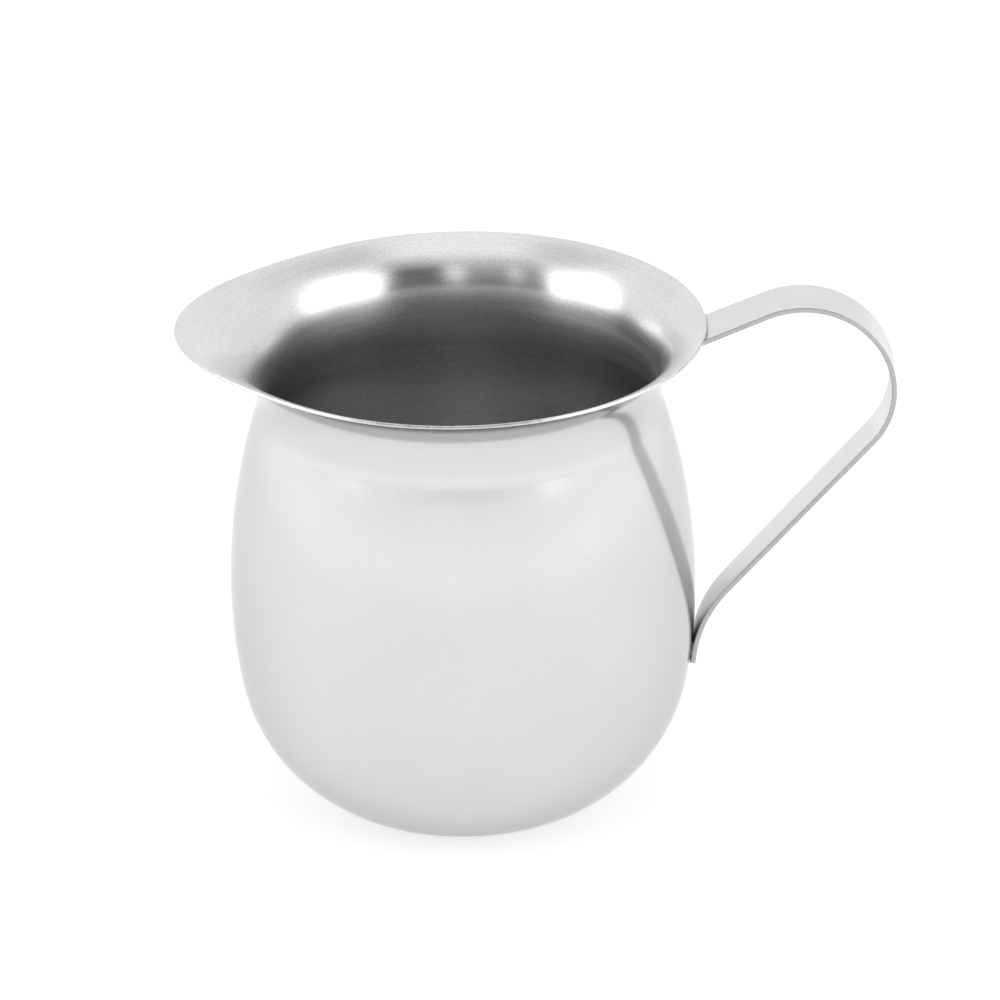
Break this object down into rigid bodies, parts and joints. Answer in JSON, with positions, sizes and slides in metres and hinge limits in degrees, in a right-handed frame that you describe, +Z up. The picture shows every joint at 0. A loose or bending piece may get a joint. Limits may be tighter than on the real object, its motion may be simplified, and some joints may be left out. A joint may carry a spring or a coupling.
{
  "type": "milk pitcher",
  "caption": "Small bell-shaped stainless steel milk pitcher with a flared rim, a pulled pouring lip and a spot-welded strap handle.",
  "frame": {"origin": "centre of the flat base, on the axis of the belly", "axes": "+Z up, +X towards the handle, -X towards the pouring lip, Y = 0 is the plane of symmetry"},
  "size_m": [0.1088, 0.075, 0.0797],
  "materials": {
    "shell_steel": "satin-polished outside, spin-brushed inside",
    "strap_steel": "fine satin along the strap",
    "weld_steel": "resistance weld metal"
  },
  "bodies": {
    "root": {"body_shell": "shell_steel", "handle_strap": "strap_steel", "neck_weld_front": "weld_steel", "neck_weld_back": "weld_steel", "belly_weld_front": "weld_steel", "belly_weld_back": "weld_steel"}
  },
  "joints": []
}
